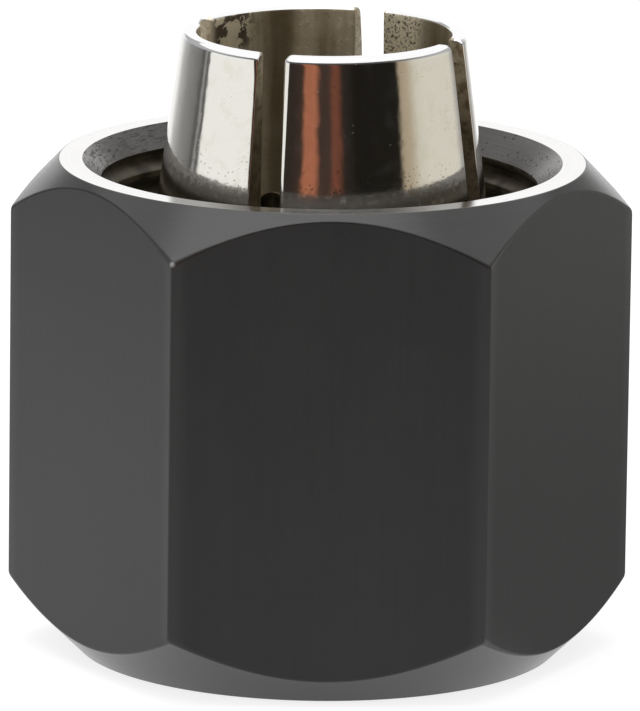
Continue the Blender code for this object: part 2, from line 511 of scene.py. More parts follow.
def hexagon_reach():
    """Angle and radius of points round a hexagon with eased edges, one flat facing -Y."""
    half = (FLAT - UPRIGHT_ROUND) * math.tan(math.pi / 6)
    across = np.concatenate([[-half, -half + SIDE_GUARD],
                             np.linspace(-half, half, SIDE_COLUMNS + 1)[1:-1],
                             [half - SIDE_GUARD]])
    middle = (FLAT - UPRIGHT_ROUND) / math.cos(math.pi / 6)
    angles, radii = [], []
    for side in range(6):
        facing = side * math.pi / 3 - math.pi / 2
        angles.extend(facing + np.arctan2(across, FLAT))
        radii.extend(np.hypot(across, FLAT))
        corner = facing + math.pi / 6
        for step in range(ROUND_COLUMNS):
            swing = math.radians(60.0) * step / ROUND_COLUMNS - math.pi / 6
            along = middle + UPRIGHT_ROUND * math.cos(swing)
            aside = UPRIGHT_ROUND * math.sin(swing)
            angles.append(corner + math.atan2(aside, along))
            radii.append(math.hypot(along, aside))
    return np.array(angles), np.array(radii)


turn, reach = hexagon_reach()
print(len(turn), "columns, corners reach", round(reach.max(), 3), "mm")

# %% [markdown]
# The outline of the nut runs from the mouth over the rim, down the outside, across the front face
# and up through the inside as far as the thread. Each row of the list is a radius, a height and
# how much that corner is rounded. The arches are rounded a little more towards the corners of the
# hexagon.

# %% Outline of the nut at one angle
RIM = FLAT - 0.3
MOUTH = FLAT - 1.5
THREAD_BORE = MOUTH - 1.2
THREAD_LOW = 13.1
FLARE_LOW = NUT_TOP - 1.2
FLARE_EDGE = 0.14
FLARE_END = NUT_TOP - FLARE_EDGE
FACE = FLAT - 1.4
FACE_RING, HOLE, HOLE_CHAMFER = 8.6, 8.2, 0.4
CONE_LOW, CONE_HIGH = 2.33, 5.37
RING_GROOVE, GROOVE_LOW, GROOVE_HIGH = CAVITY + 1.0, 8.1, 10.5
RELIEF, RELIEF_LOW = THREAD_BORE + 1.0, 11.5
TOP_SLOPE, FRONT_SLOPE = 1.045, 0.975
CORNER = FLAT / math.cos(math.pi / 6)


def nut_outline(side):
    """Outline in the direction in which the hexagon's side is that far from the axis."""
    near_corner = (side - FLAT) / (CORNER - FLAT)
    ease = 0.13 + 0.42 * near_corner**2
    return eased([
        (MOUTH - FLARE_EDGE, FLARE_END, 0),
        (MOUTH, NUT_TOP, 0.05),
        (RIM, NUT_TOP, 0.09),
        (side, NUT_TOP - (side - RIM) * TOP_SLOPE, ease),
        (side, (side - FACE) * FRONT_SLOPE, ease),
        (FACE, 0.0, 0.12),
        (FACE_RING, 0.0, 0.06),
        (HOLE, HOLE_CHAMFER, 0.06),
        (HOLE, CONE_LOW, 0.05),
        (CAVITY, CONE_HIGH, 0.05),
        (CAVITY, GROOVE_LOW, 0),
        (RING_GROOVE, GROOVE_LOW, 0),
        (RING_GROOVE, GROOVE_HIGH, 0),
        (CAVITY, GROOVE_HIGH, 0),
        (CAVITY, RELIEF_LOW, 0.05),
        (RELIEF, RELIEF_LOW, 0),
        (RELIEF, THREAD_LOW, 0),
        (THREAD_BORE, THREAD_LOW, 0),
    ])


OUTLINE_ROWS = len(nut_outline(FLAT))
print("the nut's outline has", OUTLINE_ROWS, "points")

# %% [markdown]
# The thread is right hand, 1.5 mm from turn to turn. Along the axis one turn is a short crest
# with blunted edges, a flank, a narrow root and a flank back. The rows of the grid climb with the
# thread, so its edges stay sharp, and after one trip round the axis each row meets the row one
# turn above it. Where the flare has cut deeper than the thread, the flare wins. The row next to
# each such crossing is moved onto it, which gives the slanting edge where the first groove runs
# out into the flare.

# %% Thread and flare
PITCH = 1.5
THREAD_DEPTH = 0.58
CREST = 0.376
FLANK = 0.462
ROOT = PITCH - CREST - 2 * FLANK
BLUNT = 0.05
GROOVE_START = 22.20
BLUNT_DEPTH = BLUNT * THREAD_DEPTH / FLANK
THREAD_KNOTS = [0.0, BLUNT, CREST - BLUNT, CREST + BLUNT,
                CREST + FLANK, CREST + FLANK + ROOT, PITCH - BLUNT, PITCH]
THREAD_DEPTHS = [BLUNT_DEPTH / 2, 0.0, 0.0, BLUNT_DEPTH,
                 THREAD_DEPTH, THREAD_DEPTH, BLUNT_DEPTH, BLUNT_DEPTH / 2]
TURN_ROWS = np.concatenate([
    THREAD_KNOTS[:3],
    np.linspace(CREST + BLUNT, CREST + FLANK, 6)[:-1],
    np.linspace(CREST + FLANK, CREST + FLANK + ROOT, 3)[:-1],
    np.linspace(CREST + FLANK + ROOT, PITCH - BLUNT, 6),
])
TURNS, TURNS_BELOW_START = 9, 7
FIRST_CREST = GROOVE_START - CREST - TURNS_BELOW_START * PITCH
NUDGE, NO_STEP = 1e-9, 1e-6


def thread_radius(height, climb):
    """Radius of the threaded bore, for heights at one angle."""
    share = np.mod(height - FIRST_CREST - climb + NUDGE, PITCH)
    return THREAD_BORE + np.interp(share, THREAD_KNOTS, THREAD_DEPTHS)


def flare_radius(height):
    return THREAD_BORE + height - FLARE_LOW


def thread_column(angle):
    """Radii and heights of the threaded bore and the flare at one angle."""
    climb = PITCH * angle / math.tau
    rows = (np.arange(TURNS)[:, None] * PITCH + TURN_ROWS).ravel()
    rows = np.append(rows, TURNS * PITCH) + FIRST_CREST + climb
    heights = np.clip(rows, THREAD_LOW, FLARE_END)
    excess = thread_radius(heights, climb) - flare_radius(heights)
    moved = heights.copy()
    for low in np.nonzero(np.diff(np.sign(excess + NUDGE)))[0]:
        step = heights[low + 1] - heights[low]
        if step > NO_STEP:
            cross = heights[low] + step * excess[low] / (excess[low] - excess[low + 1])
            moved[low + 1 if excess[low] > 0 else low] = cross
    return np.maximum(thread_radius(moved, climb), flare_radius(moved)), moved


print(TURNS * len(TURN_ROWS) + 1, "rows in the thread")

# %% [markdown]
# The angles about the axis are measured from the seam, so the climb of the thread is exact there.
# The last column of the thread is the first column again, one turn of rows further up. Each row
# of faces has a finish by its place in the outline, and every thread face that lies on the flare
# gets the flare's finish afterwards.

# %% Build the nut
OXIDE, TURNED, BRIGHT, FLARED, THREADED = range(5)
RIM_ROWS = slice(ROUND_ROWS - 2, ROUND_ROWS + 2)
FLAT_ROWS = slice(3 * ROUND_ROWS - 1, 4 * ROUND_ROWS)
ON_FLARE = 0.004


def make_nut():
    skin = Skin("clamping_nut")
    order = np.argsort(np.mod(turn, math.tau))
    angles = np.mod(turn, math.tau)[order]
    sides = reach[order]
    outer = np.stack([nut_outline(side) for side in sides], axis=1)
    outer = around(outer[..., 0], outer[..., 1], angles)
    outer = np.concatenate([outer, outer[:, :1]], axis=1)
    kinds = np.full(OUTLINE_ROWS - 1, TURNED)
    kinds[:RIM_ROWS.start] = FLARED
    kinds[RIM_ROWS] = BRIGHT
    kinds[FLAT_ROWS] = OXIDE
    skin.patch(outer, kinds)
    columns = [thread_column(angle) for angle in angles]
    radii, heights = np.stack(columns, axis=2)
    inner = around(radii, heights, angles)
    last = np.minimum(np.arange(len(inner)) + len(TURN_ROWS), len(inner) - 1)
    inner = np.concatenate([inner, inner[last, :1]], axis=1)
    skin.patch(inner, THREADED)
    floor_ring = around(np.array([[THREAD_BORE]]), THREAD_LOW, angles)
    low_ring = np.concatenate([floor_ring, inner[:1, :-1]], axis=0)
    skin.patch(np.concatenate([low_ring, low_ring[:, :1]], axis=1), THREADED)
    piece = skin.build([oxide_flat, oxide_turned, rim_steel, mouth_steel, thread_steel])
    for face in piece.data.polygons:
        centre = face.center / MM
        off_flare = abs(math.hypot(centre.x, centre.y) - flare_radius(centre.z))
        if face.material_index == THREADED and centre.z > FLARE_LOW and off_flare < ON_FLARE:
            face.material_index = FLARED
    return piece


nut = make_nut()
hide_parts("nut")
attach(nut, "nut")

# %% [markdown]
# ## Finish: polished nickel, sawn slots and the stained bore
#
# The taper of the collet is ground and polished until it mirrors the room. It isn't perfect: it
# waves slightly, and close to the nut it is etched and pitted. On the round at the very tip its
# colour is painted a brighter, neutral white: a painted highlight for the band of light that the
# round catches. The slots are sawn and stay brownish from the oil of heat treatment. Their faces
# are also painted darker lower down, towards the nut, and paler near the tip: painted shade and
# light. The bore is smoother than the slots but stained: dark blotches near the tip at the back
# left, specks at the back right, streaks between them. Its colour also holds painted light and
# shade: paler bands at the back left, the back right and the middle, and bands of painted shade
# beside them.

# %% Polished taper
def polished_taper():
    finish = Finish("polished_nickel")
    place, z = finish.place, finish.z
    swell = finish.rings(0.0, 0.9, 0.0).grain(1.0, 1.0, 0.4)
    waves = swell + place.grain(0.5, 1.0, 0.4) * 1.6 + place.grain(1.7, 1.0, 0.5) * 0.3
    fine = finish.rings(0.0, 30.0, 1.5).grain(1.0, 2.0, 0.6)
    left = 1 - finish.x.between(-8.6, -6.4)
    low = 1 - (z - left * 0.6).between(24.2, 25.6)
    near_nut = 1 - z.between(24.8, 26.6)
    patches = (place.grain(0.8) + near_nut * 0.13).between(0.50, 0.62)
    pits = place.spots(5.0, 0.18, 0.06) * patches
    haze = place.grain(1.1, 3.0, 0.6)
    ragged = place.grain(3.2, 4.0, 0.7)
    etched = (low + (ragged - 0.5) * 1.8).between(0.50, 0.95)
    dust = place.spots(2.2, 0.07, 0.04) * place.grain(0.9).between(0.44, 0.56)
    color = tint(haze.between(0.45, 0.75) * 0.35, (0.93, 0.91, 0.87, 1.0), (0.80, 0.75, 0.66, 1.0))
    color = tint(etched * 0.7, color, (0.27, 0.245, 0.19, 1.0))
    color = tint(pits * (0.25 + near_nut * 0.6), color, (0.16, 0.13, 0.09, 1.0))
    # Painted highlight: the round at the very tip is painted a brighter, neutral white.
    color = tint(z.between(TIP - 0.5, TIP - 0.2), color, grey(0.97))
    finish.set(
        Base_Color=color,
        Metallic=1.0 - dust * 0.3 - haze.between(0.5, 0.8) * 0.02,
        Roughness=0.045 + haze * 0.035 + low * 0.04 + etched * 0.10,
    )
    return finish.bumped(waves + fine * 0.02 - pits * 0.10 - etched * 0.03, 0.012)


taper_nickel = polished_taper()

# %% Sawn slot faces and the bore
def sawn_faces():
    finish = Finish("sawn_slot_faces")
    place = finish.place
    lines = place.stretched((2.0, 2.0, 14.0)).grain(1.0, 3.0, 0.6)
    stain = place.grain(1.6, 4.0, 0.65)
    pits = place.spots(4.5, 0.18, 0.06) * place.grain(1.2).between(0.46, 0.58)
    # Painted shade and light: the slot faces are painted darker lower down, towards the nut, and
    # paler towards the tip, where more light falls into the slots.
    lower = tint(stain.between(0.35, 0.68), (0.32, 0.265, 0.18, 1.0), (0.14, 0.105, 0.06, 1.0))
    upper = tint(stain.between(0.35, 0.68), (0.68, 0.60, 0.45, 1.0), (0.25, 0.20, 0.12, 1.0))
    color = tint(finish.z.between(TIP - 5.0, TIP - 0.5), lower, upper)
    color = tint(pits * 0.8, color, (0.07, 0.05, 0.03, 1.0))
    finish.set(Base_Color=color, Metallic=0.85, Roughness=0.44 + lines * 0.12)
    return finish.bumped(lines - pits * 0.5, 0.006)


def stained_bore():
    finish = Finish("stained_bore")
    place, x = finish.place, finish.x
    lines = finish.rings(0.0, 16.0, 1.5).grain(1.0, 2.0, 0.6)
    streaks = place.stretched((0.55, 0.55, 0.07)).grain(1.0, 3.0, 0.6)
    stain = place.grain(0.45, 4.0, 0.6)
    back = finish.y.between(0.0, 2.0)
    left_back = (1 - x.between(-3.9, -3.0)) * back
    right_back = x.between(2.2, 2.9) * (1 - x.between(4.6, 5.6)) * back
    middle = (x.band(-1.2, -0.25, 0.35) + x.band(0.75, 2.0, 0.25) * 0.7) * back
    shade = (x.band(-2.5, -1.5, 0.3) + x.between(4.6, 5.3)) * back
    blotch = place.grain(1.25, 4.0, 0.65).between(0.46, 0.52) * left_back
    blotch = blotch * x.between(-5.7, -5.2)
    near_tip = finish.z.between(TIP - 2.4, TIP - 1.5)
    specks = (place.grain(7.0, 3.0, 0.7) + right_back * 0.06).between(0.585, 0.64)
    speckle = specks * (place.grain(1.9) + right_back * 0.12).between(0.42, 0.54)
    mottle = place.grain(2.6, 4.0, 0.7).between(0.52, 0.68) * middle
    mix = streaks.between(0.35, 0.62) * 0.4 + stain.between(0.3, 0.7) * 0.25 + 0.35
    # Painted light: the back wall is painted paler in bands at the back left, the back right and
    # the middle, where it catches the light; the bands of painted shade lie beside them.
    tone_shift = left_back * 0.8 + right_back * 0.9 + middle * 0.45 + mottle * 0.35
    color = tint(mix - tone_shift, (0.90, 0.82, 0.64, 1.0), (0.27, 0.215, 0.130, 1.0))
    color = tint(shade * 0.55, color, (0.16, 0.125, 0.07, 1.0))
    dirt = blotch * near_tip * 0.95 + speckle * (0.35 + right_back * 0.55)
    color = tint(dirt.math("MINIMUM", dirt, 1.0), color, (0.085, 0.058, 0.035, 1.0))
    finish.set(
        Base_Color=color,
        Metallic=0.85,
        Roughness=0.38 + stain * 0.12 + dirt * 0.15,
    )
    return finish.bumped(lines * 0.6 - dirt * 0.3, 0.006)


slot_faces = sawn_faces()
bore_steel = stained_bore()

# %% [markdown]
# ## The collet
#
# The collet is one turned sleeve with eight saw slots, cut four from each end in turn, so that
# the sleeve becomes a spring that can close on a tool's shank. The outline is a list again, here
# from the nose at the bottom to the tip. It is a pair of outlines: the outside and the bore, row
# by row, so a slot's side can be stretched from one to the other.

# %% Outline of the collet
HALF_SLOT = 0.8
NOSE, SEAT_LOW, SEAT_HIGH, HEAD_TOP = 0.6, 2.2, 5.3, 7.3
GROOVE_TOP = 10.5
NOSE_RADIUS, GROOVE_RADIUS = 7.9, HEAD_RADIUS - 1.1
EDGE_ROUND = 0.25
TAPER_DEGREES = 7.5
TAPER = math.tan(math.radians(TAPER_DEGREES))
TIP_ROUND, BORE_ROUND = 0.38, 0.18
LOW_END, HIGH_END = 4.9, 21.05
END_STEPS = 8
OUTER_EASE, INNER_EASE, TIP_EASE = 0.30, 0.10, 0.58
PINCH, ROLLED_PINCH = 0.05, 0.24
PINCH_LOW, PINCH_HIGH = 24.0, TIP - 0.4


def arc(centre, radius, start, end, steps=6):
    angles = np.radians(np.linspace(start, end, steps + 1))
    return [(centre[0] + radius * math.cos(a), centre[1] + radius * math.sin(a)) for a in angles]


def taper_radius(height):
    return HEAD_RADIUS - (height - GROOVE_TOP) * TAPER


def toward_tip(height):
    return np.clip((height - PINCH_LOW) / (PINCH_HIGH - PINCH_LOW), 0.0, 1.0)


def outer_ease(height):
    """The tip's slot edges are rounded more than those further down."""
    return OUTER_EASE + (TIP_EASE - OUTER_EASE) * toward_tip(height)


def half_slot(height, pinch):
    """The fingers have sprung together a little, so the slots close in towards the tip."""
    return HALF_SLOT - pinch * toward_tip(height)


print("taper radius at the rim of the nut:", round(taper_radius(NUT_TOP), 3))

# %% [markdown]
# A row holds its outside point, its bore point and the state of the tip slots and of the nose
# slots at that height. A state is two numbers: how open the slot is, from 1 beside its straight
# part to 0 where there is none, and how far the row has climbed round its end. There the rows
# follow the quarter circle, so the opening closes smoothly to a point.

# %% Rows of the collet
def slot_end_rows(middle, side, outside):
    """Rows round the end of a slot, from its straight part to its very end."""
    rows = []
    for step in range(END_STEPS + 1):
        swing = math.pi / 2 * step / END_STEPS
        ease = outer_ease(middle)
        outer = middle + side * (HALF_SLOT + ease) * math.sin(swing)
        inner = middle + side * (HALF_SLOT + INNER_EASE) * math.sin(swing)
        rows.append(((outside(outer), outer), (BORE, inner), (math.cos(swing), math.sin(swing))))
    return rows


def seat_radius(height):
    share = (height - SEAT_LOW) / (SEAT_HIGH - SEAT_LOW)
    return NOSE_RADIUS + (HEAD_RADIUS - NOSE_RADIUS) * share


def collet_rows():
    """Rows of (outside, bore, tip slot, nose slot), where a slot is (openness, rise)."""
    shut, full = (0.0, 1.0), (1.0, 0.0)
    middle_low = ((NOSE_RADIUS + BORE) / 2, NOSE)
    rows = [(middle_low, middle_low, shut, full)]
    nose_outer = arc((NOSE_RADIUS - EDGE_ROUND, NOSE + EDGE_ROUND), EDGE_ROUND, -90, 0)
    nose_inner = arc((BORE + BORE_ROUND, NOSE + BORE_ROUND), BORE_ROUND, -90, -180)
    rows += [(out, inn, shut, full) for out, inn in zip(nose_outer, nose_inner)]
    rows += [((NOSE_RADIUS, z), (BORE, z), shut, full) for z in (1.2, SEAT_LOW)]
    rows += [((seat_radius(z), z), (BORE, z), shut, full) for z in (3.0, 3.6)]
    low_end = slot_end_rows(LOW_END, -1, seat_radius)[::-1]
    rows += [(out, inn, state, full) for out, inn, state in low_end]
    head = [(HEAD_RADIUS, SEAT_HIGH), (HEAD_RADIUS, 6.2)]
    head += arc((HEAD_RADIUS - EDGE_ROUND, HEAD_TOP - EDGE_ROUND), EDGE_ROUND, 0, 90, 4)
    head += [(GROOVE_RADIUS, HEAD_TOP), (GROOVE_RADIUS, 8.9), (GROOVE_RADIUS, GROOVE_TOP)]
    head += [(taper_radius(z), z) for z in (GROOVE_TOP, 10.7, 12.5, 14.5, 16.5, 18.5, 20.2)]
    rows += [(point, (BORE, point[1]), full, full) for point in head]
    high_end = slot_end_rows(HIGH_END, 1, taper_radius)
    rows += [(out, inn, full, state) for out, inn, state in high_end]
    rest = (22.6, 23.3, 24.0, 25.0, 26.0, 27.0, 28.0, 29.0, 30.2, 30.96)
    rows += [((taper_radius(z), z), (BORE, z), full, shut) for z in rest]
    lean = math.radians(TAPER_DEGREES)
    start = TIP - TIP_ROUND * (1 - math.sin(lean))
    tip_centre = taper_radius(start) - TIP_ROUND * math.cos(lean)
    tip_outer = arc((tip_centre, TIP - TIP_ROUND), TIP_ROUND, TAPER_DEGREES, 90, 7)
    tip_inner = arc((BORE + BORE_ROUND, TIP - BORE_ROUND), BORE_ROUND, 180, 90, 7)
    rows += [(out, inn, full, shut) for out, inn in zip(tip_outer, tip_inner)]
    middle_high = ((tip_centre + BORE + BORE_ROUND) / 2, TIP)
    return rows + [(middle_high, middle_high, full, shut)]


rows = collet_rows()
print(len(rows), "rows in the collet")

# %% [markdown]
# To round a slot's edge the skin has to turn from the outside into the slot. So each row needs
# the direction that points out of the steel. At a corner of the outline that direction is the
# mitre of its two neighbours, longer than 1, as in a picture frame.

# %% Directions out of the steel
def mitres(points, side):
    """For each point of an outline, the direction out of the steel."""
    points = np.array(points)
    steps = np.diff(points, axis=0)
    lengths = np.linalg.norm(steps, axis=1)
    normals = np.stack([steps[:, 1], -steps[:, 0]], axis=1) * side
    known = lengths > NUDGE
    normals[known] /= lengths[known, None]
    for place in np.nonzero(~known)[0]:
        normals[place] = normals[place - 1]
    first = np.concatenate([normals[:1], normals])
    second = np.concatenate([normals, normals[-1:]])
    return (first + second) / (1 + (first * second).sum(axis=1))[:, None]


outside = np.array([row[0] for row in rows])
inside = np.array([row[1] for row in rows])
out_way = mitres(outside, 1)
in_way = mitres(inside, -1)
in_way[[0, -1]] = out_way[[0, -1]] = [(0.0, -1.0), (0.0, 1.0)]
print("longest mitre", round(float(np.linalg.norm(out_way, axis=1).max()), 3))

# %% [markdown]
# The saw leaves the edges of a slot crisp, and polishing rounds them at the tip. One edge, at the
# front slot, was rolled over into a broad, flat round, which shows as a bright band. So each edge
# has its own list of rounds, row by row, and the rolled one is also sunk less deep than it is
# wide. At the very end of a slot its two sides meet, and there they have to agree. `ROLLED_EDGE`
# is the number of the slot and the side.

# %% How far the slot edges are rounded
TIP_ROWS = 8
CRISP, CRISP_TIP = 0.16, 0.36
FLATTENED = 0.5
ROLLED_EDGE = (0, 1)


def edge_rounds(share_below, share_at_tip):
    """Rounds of one slot edge, row by row, on the outside and in the bore."""
    top = TIP_EASE * share_at_tip
    rise = np.interp(outside[:, 1], [TIP - 1.3, TIP - TIP_ROUND], [0.0, 1.0])
    below = outer_ease(outside[:, 1]) * share_below
    outer = below + (top - below) * rise
    inner = np.full(len(rows), INNER_EASE)
    shared = (top + INNER_EASE) / 2
    for count in range(TIP_ROWS + 1):
        share = count / TIP_ROWS
        place = len(rows) - 1 - TIP_ROWS + count
        outer[place] = top + (shared - top) * share
        inner[place] = INNER_EASE + (shared - INNER_EASE) * share
    outer[0] = inner[0] = 0.5 * (outer[1] + INNER_EASE)
    return outer, inner


def sinking():
    """How deep a round goes, as a share of its width, on the outside and in the bore."""
    outer = np.interp(outside[:, 1], [22.0, 24.0], [1.0, FLATTENED])
    outer[-TIP_ROWS - 1:] = np.linspace(FLATTENED, 1.0, TIP_ROWS + 1)
    return outer, np.ones(len(rows))


ROLLED = edge_rounds(1.0, 1.0)
PLAIN = edge_rounds(CRISP, CRISP_TIP)
SINK = sinking()
PLAIN_HALF = half_slot(outside[:, 1], PINCH)
ROLLED_HALF = half_slot(outside[:, 1], ROLLED_PINCH)
print("outer edges rounded", PLAIN[0].min().round(3), "to", ROLLED[0].max().round(3))

# %% [markdown]
# Now the patches. Between two slots lies one finger's outside and bore. Their edges follow the
# slot, which has parallel sides, so its half width is a distance and not an angle: the arc sine
# turns it into an angle at each radius. A slot's side runs from the outside, round the edge,
# straight through the wall, round the inner edge and into the bore.

# %% Patches of the collet
NICKEL, SAWN, STAINED = range(3)
OUTER, INNER = range(2)
FIRST_SLOT = math.radians(-23.1 - 90.0)
SLOTS = 8
FINGER_COLUMNS = 24
EDGE_STEPS = 6
SHARES = np.concatenate([[0.0, 0.012], np.linspace(0, 1, FINGER_COLUMNS + 1)[1:-1], [0.988, 1.0]])
SHUT = 1e-12


def slot_state(slot):
    """Openness and rise of a slot for every row. Even slots come from the tip."""
    return np.array([row[2 + slot % 2] for row in rows]).T


def is_rolled(slot, side):
    return (slot % SLOTS, side) == ROLLED_EDGE


def half_width(slot, side):
    return ROLLED_HALF if is_rolled(slot, side) else PLAIN_HALF


def edge_round(slot, side, skin_side):
    openness = slot_state(slot)[0]
    own = ROLLED if is_rolled(slot, side) else PLAIN
    whole = ROLLED[skin_side]
    return whole + (own[skin_side] - whole) * openness


def boundary(slot, side, points, skin_side):
    openness = slot_state(slot)[0]
    reach = (half_width(slot, side) + edge_round(slot, side, skin_side)) * openness
    return np.arcsin(reach / points[:, 0])


def finger(slot, points, skin_side):
    """Points of a finger between this slot and the next, on the outside or in the bore."""
    start = FIRST_SLOT + slot * math.tau / SLOTS + boundary(slot, 1, points, skin_side)
    end = FIRST_SLOT + (slot + 1) * math.tau / SLOTS - boundary(slot + 1, -1, points, skin_side)
    angles = start[:, None] + (end - start)[:, None] * SHARES
    return around(points[:, :1], points[:, 1:], angles)


def slot_side(slot, side):
    """Points across the wall beside a slot, from the outside to the bore."""
    openness, rise = slot_state(slot)
    up = 1 if slot % 2 == 0 else -1
    swings = np.linspace(0, math.pi / 2, EDGE_STEPS + 1)
    edges = ((outside, out_way, OUTER, swings), (inside, in_way, INNER, swings[::-1]))
    strips = []
    for points, way, skin_side, bends in edges:
        ease = edge_round(slot, side, skin_side)
        for bend in bends:
            aside = ease * (1 - math.sin(bend))
            place = points - way * (ease * SINK[skin_side] * (1 - math.cos(bend)))[:, None]
            lift = ROLLED[skin_side] * math.sin(bend) * rise * (openness < 1)
            height = place[:, 1] + up * lift
            strips.append(((half_width(slot, side) + aside) * openness, place[:, 0], height))
    grid = []
    for across, radius, height in strips:
        angle = FIRST_SLOT + slot * math.tau / SLOTS + side * np.arcsin(across / radius)
        grid.append(around(radius, height, angle))
    shut = np.nonzero(openness < SHUT)[0]
    grid = np.stack(grid, axis=1)
    return grid[shut.max():] if up == 1 else grid[:shut.min() + 1]


def make_collet():
    skin = Skin("slotted_collet")
    bore_kinds = np.full(len(rows) - 1, STAINED)
    bore_kinds[2 - TIP_ROWS:] = NICKEL
    for slot in range(SLOTS):
        skin.patch(finger(slot, outside, OUTER), NICKEL)
        skin.patch(finger(slot, inside, INNER), bore_kinds)
        for side in (-1, 1):
            grid = slot_side(slot, side)
            skin.patch(grid[:, :EDGE_STEPS + 1], NICKEL)
            skin.patch(grid[:, EDGE_STEPS:EDGE_STEPS + 2], SAWN)
            skin.patch(grid[:, EDGE_STEPS + 1:], STAINED)
    return skin.build([taper_nickel, slot_faces, bore_steel])


collet = make_collet()
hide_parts("collet")
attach(collet, "collet")

# %% [markdown]
# ## The snap ring
#
# A ring of round spring wire lies half in the nut's groove and half in the collet's. It is open
# over a short arc so that it can be squeezed in. It hardly shows, but from below and through the
# slots a glint of it can be seen. It is a circle swept along an arc, with its cut ends rounded
# over.

# %% Wire ring
def drawn_wire():
    finish = Finish("bright_drawn_wire")
    lines = finish.rings(12.0, 12.0, 0.6).grain(1.0, 2.0, 0.6)
    stain = finish.place.grain(0.7, 3.0, 0.6)
    color = tint(stain.between(0.4, 0.75), (0.56, 0.54, 0.50, 1.0), (0.34, 0.30, 0.23, 1.0))
    finish.set(Base_Color=color, Metallic=1.0, Roughness=0.24 + lines * 0.12)
    return finish.bumped(lines, 0.004)


WIRE_RADIUS, WIRE_CIRCLE, WIRE_HEIGHT = 0.9, HEAD_RADIUS + 0.1, 9.3
WIRE_OPENING, WIRE_OPENING_TURN = math.radians(34.0), math.radians(140.0)
WIRE_STEPS, WIRE_SIDES, WIRE_END = 150, 24, 0.3


def make_wire():
    skin = Skin("snap_ring")
    rounding = np.linspace(0, math.pi / 2, 6)
    start_radii = WIRE_RADIUS - WIRE_END + WIRE_END * np.sin(rounding)
    start_along = WIRE_END * (1 - np.cos(rounding)) / WIRE_CIRCLE
    length = math.tau - WIRE_OPENING
    along = np.concatenate([[0.0], start_along, np.linspace(0, length, WIRE_STEPS)[1:-1],
                            (length - start_along)[::-1], [length]])
    radii = np.concatenate([[0.0], start_radii, np.full(WIRE_STEPS - 2, WIRE_RADIUS),
                            start_radii[::-1], [0.0]])
    about = np.linspace(0, math.tau, WIRE_SIDES + 1)
    about[-1] = 0.0
    circle = WIRE_CIRCLE + radii[:, None] * np.cos(about)
    height = WIRE_HEIGHT + radii[:, None] * np.sin(about)
    angle = WIRE_OPENING_TURN + WIRE_OPENING / 2 + along
    skin.patch(around(circle, height, angle[:, None]), 0)
    return skin.build([drawn_wire()])


ring = make_wire()
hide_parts("retaining_ring")
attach(ring, "retaining_ring")

# %% [markdown]
# ## The table and the background
#
# The photograph has a pure white background. More light would bleach the part, so the floor gets
# its white in another way: half of it is a plain pale surface that takes light and shadow, and
# the other half is a faint glow that only the camera and mirror-like surfaces see. The soft
# shadow under the nut stays. The world does the same: white where it is looked at, and pale grey
# as a source of light.

# %% Floor and world
FLOOR_REACH = 3.0
FLOOR_DROP = 0.00002
FLOOR_PAINT = 0.40
FLOOR_GLOW = 0.79
WORLD_LIGHT = 0.68


def seen(sheet):
    """1 for rays from the camera and from mirror-like or clear surfaces, 0 for other light."""
    looked_at, mirrored, through = (
        sheet.node("ShaderNodeLightPath", output=f"Is {kind} Ray")
        for kind in ("Camera", "Glossy", "Transmission")
    )
    return sheet.math("MAXIMUM", sheet.math("MAXIMUM", looked_at, mirrored), through)


def blank(holder):
    """Empties the node tree of a material or a world, and gives the sheet to work on."""
    holder.use_nodes = True
    holder.node_tree.nodes.clear()
    return Signal(holder.node_tree)


def scenery(name, points, faces, material):
    """A plain thing of the studio, linked to the scene."""
    mesh = bpy.data.meshes.new(name)
    mesh.from_pydata(points, [], faces)
    mesh.materials.append(material)
    thing = bpy.data.objects.new(name, mesh)
    scene.collection.objects.link(thing)
    return thing


def floor_paint():
    material = bpy.data.materials.new("pale_floor")
    sheet = blank(material)
    paint = sheet.node("ShaderNodeBsdfDiffuse", None, {"Color": grey(FLOOR_PAINT)})
    glow = sheet.node("ShaderNodeEmission", None, {"Strength": seen(sheet) * FLOOR_GLOW})
    both = sheet.node("ShaderNodeAddShader", None, {0: paint, 1: glow})
    sheet.node("ShaderNodeOutputMaterial", None, {"Surface": both})
    return material


def make_floor():
    far = FLOOR_REACH
    corners = [(-far, -far, 0.0), (far, -far, 0.0), (far, far, 0.0), (-far, far, 0.0)]
    floor = scenery("floor", corners, [(0, 1, 2, 3)], floor_paint())
    floor.location.z = -FLOOR_DROP
    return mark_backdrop(floor)


make_floor()
scene.world = bpy.data.worlds.new("world")
sky = blank(scene.world)
strength = seen(sky) * (1.0 - WORLD_LIGHT) + WORLD_LIGHT
light = sky.node("ShaderNodeBackground", None, {"Color": grey(1.0), "Strength": strength})
sky.node("ShaderNodeOutputWorld", None, {"Surface": light})
print("the world looks white and lights the part at", WORLD_LIGHT)

# %% [markdown]
# ## A painted card round the part
#
# Polished metal has no look of its own: it shows the studio. In the photograph the taper mirrors
# a white panel on the left, a warm pale one on the right, and the dark side of the room in front,
# with two copper-coloured strips in it. So a bent card stands round the part, painted with those
# tones by direction. Only mirror-like surfaces see it. It neither lights the part nor shades it,
# and the reflections follow the metal by themselves. The strips lean a little and their paint is
# uneven. Above the panels the card is plain, dark in front and grey further round: the front of
# the nut's bright rim shows that part of the room, by way of the collet. Angles are in degrees, 0
# in front of the part and 90 to its right.

